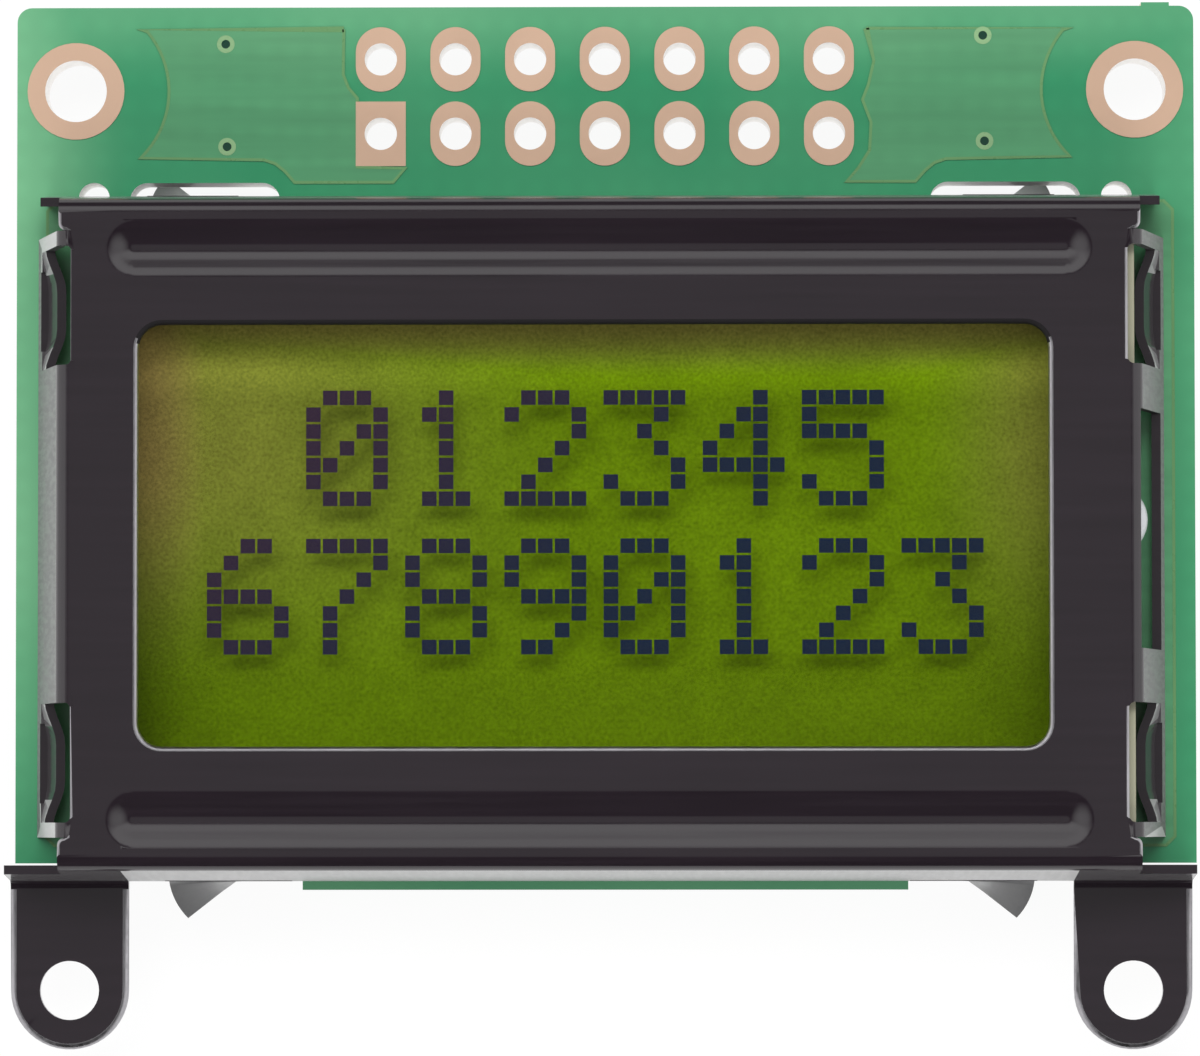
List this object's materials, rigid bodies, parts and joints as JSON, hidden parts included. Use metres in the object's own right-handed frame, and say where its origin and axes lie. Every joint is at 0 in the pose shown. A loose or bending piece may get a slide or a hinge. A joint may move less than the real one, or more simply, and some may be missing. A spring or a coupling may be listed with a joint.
{
  "type": "character lcd module",
  "caption": "Reflective character display: a green board with a header row and mounting holes, under a black folded steel frame with a window, press grooves and two ears.",
  "frame": {"origin": "middle of the bounding box, on the plane of the tab tips that the module rests on", "axes": "+X to the reader's right along the rows of characters, +Y towards the header rows, +Z out of the display's face"},
  "size_m": [0.0402, 0.0355, 0.0071],
  "materials": {
    "solder_mask_board": "light green solder mask over glass epoxy",
    "black_steel": "semi-gloss black coating on steel sheet",
    "display_film": "olive green polarizing film",
    "clear_glass": "clear float glass",
    "liquid_crystal": "olive film of liquid crystal",
    "seal_resin": "cured seal resin",
    "reflector_foil": "fine-grained reflector film",
    "plug_resin": "translucent light-cured resin",
    "connector_rubber": "striped silicone rubber",
    "gold_contact": "thin gold plating",
    "bare_copper": "bare copper, slightly dull",
    "black_resin": "dull black potting resin",
    "resistor_body": "black-topped ceramic chip with tinned ends",
    "capacitor_body": "tan ceramic chip with tinned ends"
  },
  "bodies": {
    "root": {"board": "solder_mask_board", "frame": "black_steel", "front_polarizer": "display_film", "front_glass": "clear_glass", "liquid_crystal": "liquid_crystal", "cell_seal": "seal_resin", "rear_glass": "clear_glass", "rear_polarizer": "display_film", "reflector": "reflector_foil", "fill_plug": "plug_resin", "upper_rubber_connector": "connector_rubber", "lower_rubber_connector": "connector_rubber", "upper_contacts": "gold_contact", "lower_contacts": "gold_contact", "left_mount_land": "bare_copper", "right_mount_land": "bare_copper", "controller_cover": "black_resin", "header_land_1": "bare_copper", "header_land_2": "bare_copper", "header_land_3": "bare_copper", "header_land_4": "bare_copper", "header_land_5": "bare_copper", "header_land_6": "bare_copper", "header_land_7": "bare_copper", "header_land_8": "bare_copper", "header_land_9": "bare_copper", "header_land_10": "bare_copper", "header_land_11": "bare_copper", "header_land_12": "bare_copper", "header_land_13": "bare_copper", "header_land_14": "bare_copper", "via_1": "bare_copper", "via_2": "bare_copper", "via_3": "bare_copper", "via_4": "bare_copper", "resistor_1": "resistor_body", "resistor_2": "resistor_body", "resistor_3": "resistor_body", "resistor_4": "resistor_body", "resistor_5": "resistor_body", "capacitor_1": "capacitor_body", "capacitor_2": "capacitor_body"}
  },
  "joints": []
}
